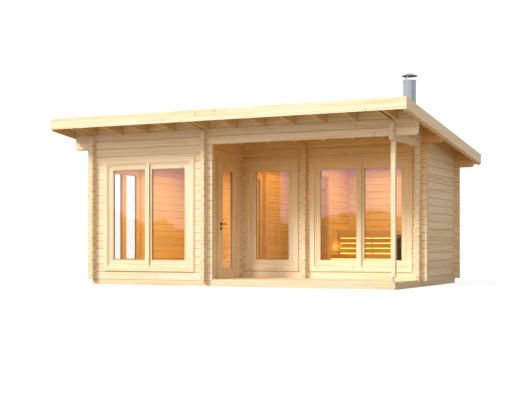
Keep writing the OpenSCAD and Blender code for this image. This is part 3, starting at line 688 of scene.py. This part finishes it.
strip_light, shader, place = new_material("warm_strip")
dots = place.noise(60.0, 1.0, 0.5).between(0.3, 0.7, 0.85, 1.15)
feed(shader, "Emission Color", dots.vector(dots, dots) * AMBER)
shader.inputs["Base Color"].default_value = rgb(0.9, 0.8, 0.6)
shader.inputs["Emission Strength"].default_value = STRIP_GLOW
slat_back = upper_low.y + 2 * SEAT_T
step_back = lower_low.y + SEAT_T
bm = bmesh.new()
for i in range(GAPS):
    z = upper_high.z - GAP_DOWN - i * GAP_PITCH
    board(bm, (upper_low.x + STRIP_IN, slat_back + 0.002, z - STRIP_H / 2),
          (upper_high.x - STRIP_IN, slat_back + 0.010, z + STRIP_H / 2), bevel=0.001)
board(bm, (lower_low.x + STRIP_IN, step_back + 0.004, lower_high.z - 0.096),
      (lower_high.x - STRIP_IN, step_back + 0.018, lower_high.z - 0.074), bevel=0.001)
piece("bench_light_strips", bm, strip_light)


def lamp(name, spot, size, power, colour, turn=(0.0, 0.0, 0.0)):
    """A soft oblong lamp that lights without being seen. It faces down until turned."""
    data = bpy.data.lights.new(name, "AREA")
    data.shape = "RECTANGLE"
    data.size, data.size_y = size
    data.energy = power
    data.color = colour
    made = bpy.data.objects.new(name, data)
    made.location = spot
    made.rotation_euler = turn
    made.visible_camera = False
    made.visible_glossy = False
    scene.collection.objects.link(made)


lamp("under_bench_lamp", ((lower_low.x + lower_high.x) / 2, lower_low.y + 0.05, 0.43),
     (lower_high.x - lower_low.x - 0.1, 0.03), 9.0, AMBER, (math.radians(70), 0.0, 0.0))
lamp("slat_end_lamp", (upper_low.x + 0.06, upper_low.y - 0.05, 0.68),
     (0.10, 0.30), 0.25, AMBER, (0.0, math.radians(90), 0.0))

# ---- Heater ------------------------------------------------------------------
# A wood-burning heater: a black sheet case inside a cage of round bars that is filled
# with stones, and loose stones heaped around the flue on top.

CAGE_OUT = 0.030
CAGE_BAR = 0.005
CAGE_UP = 0.070
BARS = 9
STONES_IN = 0.020
STONES_A_SIDE = 8
STONE_ROW = 0.052
heater_low, heater_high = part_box("heater")
heater_mid = (heater_low + heater_high) / 2
cage_top = heater_high.z + CAGE_UP
cage_r = (heater_high.x - heater_low.x) / 2 + CAGE_OUT
corners = [(-1, -1), (1, -1), (1, 1), (-1, 1)]
sides = list(zip(corners, corners[1:] + corners[:1]))
finish_node("heater", black)


def rod(bm, a, b, radius):
    """A round bar between two points."""
    a, b = Vector(a), Vector(b)
    turn = (b - a).to_track_quat("Z", "Y").to_matrix().to_4x4()
    bmesh.ops.create_cone(bm, cap_ends=True, segments=8, radius1=radius, radius2=radius,
                          depth=(b - a).length, matrix=Matrix.Translation((a + b) / 2) @ turn)


bm = bmesh.new()
for (ax, ay), (bx, by) in sides:
    start = heater_mid + Vector((ax, ay, 0)) * cage_r
    end = heater_mid + Vector((bx, by, 0)) * cage_r
    for i in range(BARS):
        spot = start.lerp(end, i / BARS)
        rod(bm, (spot.x, spot.y, heater_low.z + 0.01), (spot.x, spot.y, cage_top), CAGE_BAR)
    out = Vector((ax + bx, ay + by, 0)).normalized() * (2 * CAGE_BAR - 0.001)
    for z in (heater_low.z + 0.03, heater_low.z + 0.36, cage_top - 0.01):
        rod(bm, (start.x + out.x, start.y + out.y, z), (end.x + out.x, end.y + out.y, z),
            CAGE_BAR)
piece("heater_cage", bm, black, smooth=True)

stone, shader, place = new_material("olivine_stone")
mottle = place.noise(30.0, 5.0, 0.65)
feed(shader, "Base Color", mottle.blend(rgb(0.06, 0.056, 0.052), rgb(0.30, 0.27, 0.24)))
feed(shader, "Normal", mottle.bump(0.6, 0.004))
shader.inputs["Roughness"].default_value = 0.88
finish_node("heater_stones", stone)

random.seed(7)


def pebble(bm, spot, size):
    """A broken stone: a low sphere with its corners pushed about and its faces flat."""
    made = bmesh.ops.create_icosphere(bm, subdivisions=1, radius=size)
    stretch = [random.uniform(0.75, 1.15) for _ in range(3)]
    turn = Matrix.Rotation(random.uniform(0, math.tau), 4, Vector(
        (random.uniform(-1, 1), random.uniform(-1, 1), random.uniform(-1, 1))))
    for vert in made["verts"]:
        vert.co *= random.uniform(0.85, 1.08)
    bmesh.ops.transform(bm, matrix=Matrix.Translation(spot) @ turn
                        @ Matrix.Diagonal((*stretch, 1.0)), verts=made["verts"])


bm = bmesh.new()
fill_low = heater_low.z + 0.05
fill_r = cage_r - STONES_IN
for level in range(int((cage_top - fill_low) / STONE_ROW)):
    for (ax, ay), (bx, by) in sides:
        start = heater_mid + Vector((ax, ay, 0)) * fill_r
        end = heater_mid + Vector((bx, by, 0)) * fill_r
        for i in range(STONES_A_SIDE):
            spot = start.lerp(end, (i + random.uniform(0.2, 0.8)) / STONES_A_SIDE)
            spot.z = fill_low + level * STONE_ROW + random.uniform(-0.008, 0.008)
            pebble(bm, spot, random.uniform(0.020, 0.028))
heap_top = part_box("heater_stones")[1].z - 0.022
for ring, count, drop in ((flue_r + 0.030, 18, 0.0), (flue_r + 0.078, 26, 0.030)):
    for i in range(count):
        angle = math.tau * (i + random.uniform(-0.3, 0.3)) / count
        spot = heater_mid + Vector((math.cos(angle), math.sin(angle), 0)) * ring
        spot.z = heap_top - drop + random.uniform(-0.006, 0.006)
        pebble(bm, spot, random.uniform(0.022, 0.032))
piece("heater_pebbles", bm, stone)

# ---- Flue --------------------------------------------------------------------
# A twin-wall flue of bright steel in sections joined by locking bands, with a flashing
# cone on the roof and a domed rain cap.

BAND_H = 0.028
BAND_OUT = 0.005
BAND_GAP = 0.0005
flue_steel = brushed("flue_steel", rgb(0.56, 0.60, 0.66), 0.28, spread=0.14, metal=0.7)
finish_node("flue", flue_steel)
finish_node("flue_cap", flue_steel)
lead, shader, place = new_material("flashing_grey")
worn = place.noise(14.0, 4.0, 0.6)
feed(shader, "Base Color", worn.blend(rgb(0.05, 0.052, 0.056), rgb(0.13, 0.133, 0.14)))
shader.inputs["Roughness"].default_value = 0.6
finish_node("flue_flashing", lead)


def draw_rim(bm, rim):
    """New vertices joined by faces to a ring's own, ready to be moved."""
    edges = [edge for edge in bm.edges if all(vert in rim for vert in edge.verts)]
    made = bmesh.ops.extrude_edge_only(bm, edges=edges)
    return [item for item in made["geom"] if isinstance(item, bmesh.types.BMVert)]


bm = bmesh.new()
swell = (flue_r + BAND_OUT) / (flue_r + BAND_GAP)
for z in (heater_high.z + 0.92, heater_high.z + 1.55, flue_high.z - 0.42):
    foot = Vector((flue_mid.x, flue_mid.y, z - BAND_H / 2))
    centred = Matrix.Translation(-foot)
    rim = bmesh.ops.create_circle(bm, cap_ends=False, segments=64, radius=flue_r + BAND_GAP,
                                  matrix=Matrix.Translation(foot))["verts"]
    rim = draw_rim(bm, rim)
    bmesh.ops.scale(bm, vec=(swell, swell, 1.0), verts=rim, space=centred)
    rim = draw_rim(bm, rim)
    bmesh.ops.translate(bm, vec=(0, 0, BAND_H), verts=rim)
    rim = draw_rim(bm, rim)
    bmesh.ops.scale(bm, vec=(1 / swell, 1 / swell, 1.0), verts=rim, space=centred)
piece("flue_bands", bm, flue_steel, smooth=True)

# ---- Studio ------------------------------------------------------------------
# A camera on a low stand, to the right of the front, shifted up a little so that the
# walls' edges stay parallel. The building stands on a plain pale floor, lit by a sun lamp
# and a broad fill from the front, an even sky, and warm lamps inside the rooms.

scene.view_settings.view_transform = "Standard"
camera_data = bpy.data.cameras.new("camera")
camera_data.lens = 70.99
camera_data.sensor_width = 36.0
camera_data.shift_y = 0.0789
camera_data.clip_end = 300.0
camera = bpy.data.objects.new("camera", camera_data)
camera.location = (8.02, -17.007, 0.69)
camera.rotation_euler = (math.radians(90), 0, math.radians(25.635))
scene.collection.objects.link(camera)
scene.camera = camera

# Panes mirror a dark ground below a ragged tree line, a pink to lilac sky just above it,
# and a cool sky with soft bright bands higher up. All else is lit by an even sky.
SKY_LEVEL = 0.71
BACKDROP = rgb(1.3, 1.3, 1.3)
GROUND = rgb(0.22, 0.13, 0.015)
PINK = rgb(0.95, 0.76, 0.78)
LILAC = rgb(0.78, 0.70, 1.0)
COOL = rgb(0.26, 0.30, 0.36)
BRIGHT = rgb(1.0, 1.0, 1.0)
world = bpy.data.worlds.new("studio")
scene.world = world
world.use_nodes = True
tree = world.node_tree
tree.nodes.clear()
out = tree.nodes.new("ShaderNodeOutputWorld")
path = tree.nodes.new("ShaderNodeLightPath")
camera_ray = Shade(path.outputs["Is Camera Ray"])
seen = camera_ray.sum("MAXIMUM", Shade(path.outputs["Is Transmission Ray"]))
mirrored = Shade(path.outputs["Is Glossy Ray"])
direction = Shade(tree.nodes.new("ShaderNodeTexCoord").outputs["Generated"])
east, north, up = direction.split()
ragged = (east * 34.0).vector(north * 34.0, up * 20.0).noise(1.0, 3.0, 0.5)
above_trees = (up + 0.006 - ragged * 0.062).between(-0.002, 0.002)
low_sky = up.between(0.01, 0.085).blend(PINK, LILAC)
bands = (east * 2.3).vector(north * 2.3, 0.0).noise(1.0, 2.0, 0.5)
high_sky = bands.between(0.35, 0.62).blend(COOL, BRIGHT)
sky = up.between(0.085, 0.115).blend(low_sky, high_sky)
surroundings = above_trees.blend(GROUND, sky)
even = Shade(tree.nodes.new("ShaderNodeRGB").outputs[0])
even.socket.default_value = rgb(SKY_LEVEL, SKY_LEVEL * 0.955, SKY_LEVEL * 0.89)
colour = seen.blend(mirrored.blend(even, surroundings), BACKDROP)
background = tree.nodes.new("ShaderNodeBackground")
tree.links.new(colour.socket, background.inputs["Color"])
tree.links.new(background.outputs[0], out.inputs["Surface"])


def sun(name, toward, energy, spread, colour):
    """A sun lamp that shines toward a direction, with its spread in degrees."""
    data = bpy.data.lights.new(name, "SUN")
    data.energy = energy
    data.angle = math.radians(spread)
    data.color = colour
    made = bpy.data.objects.new(name, data)
    made.rotation_euler = Vector(toward).to_track_quat("-Z", "Y").to_euler()
    scene.collection.objects.link(made)
    return made


sun("key", (0.71, 1.0, -0.87), 2.4, 13, (1.0, 0.985, 0.96))
fill = sun("fill", (0.25, 1.0, -0.50), 1.0, 55, (1.0, 0.95, 0.86))
fill.visible_glossy = False

WARM = (1.0, 0.62, 0.22)
LAMP_Z = 2.15
LAMP_SHARE = 0.7
for name, x0, x1, y0, power in (
        ("front_room_lamp", floor_low.x, door_wall_low.x, floor_low.y, 42.0),
        ("hall_lamp", door_wall_high.x, part_low.x, inside_y, 14.0),
        ("sauna_lamp", part_high.x, floor_high.x, inside_y, 24.0)):
    y1 = floor_high.y
    lamp(name, ((x0 + x1) / 2, (y0 + y1) / 2, LAMP_Z),
         ((x1 - x0) * LAMP_SHARE, (y1 - y0) * LAMP_SHARE), power, WARM)

# The floor glows a little to the camera alone, so that it reads white and still keeps
# the building's shadow.
FLOOR_R = 13.0
FLOOR_GLOW = 1.08
bm = bmesh.new()
bmesh.ops.create_circle(bm, cap_ends=True, segments=96, radius=FLOOR_R)
mesh = bpy.data.meshes.new("studio_floor")
bm.to_mesh(mesh)
bm.free()
floor = bpy.data.objects.new("studio_floor", mesh)
scene.collection.objects.link(floor)
ground, shader, place = new_material("studio_floor")
shader.inputs["Base Color"].default_value = rgb(0.36, 0.30, 0.22)
shader.inputs["Roughness"].default_value = 0.9
shader.inputs["Specular IOR Level"].default_value = 0.0
shader.inputs["Emission Color"].default_value = rgb(0.68, 0.73, 0.80)
path = ground.node_tree.nodes.new("ShaderNodeLightPath")
feed(shader, "Emission Strength", Shade(path.outputs["Is Camera Ray"]) * FLOOR_GLOW)
mesh.materials.append(ground)
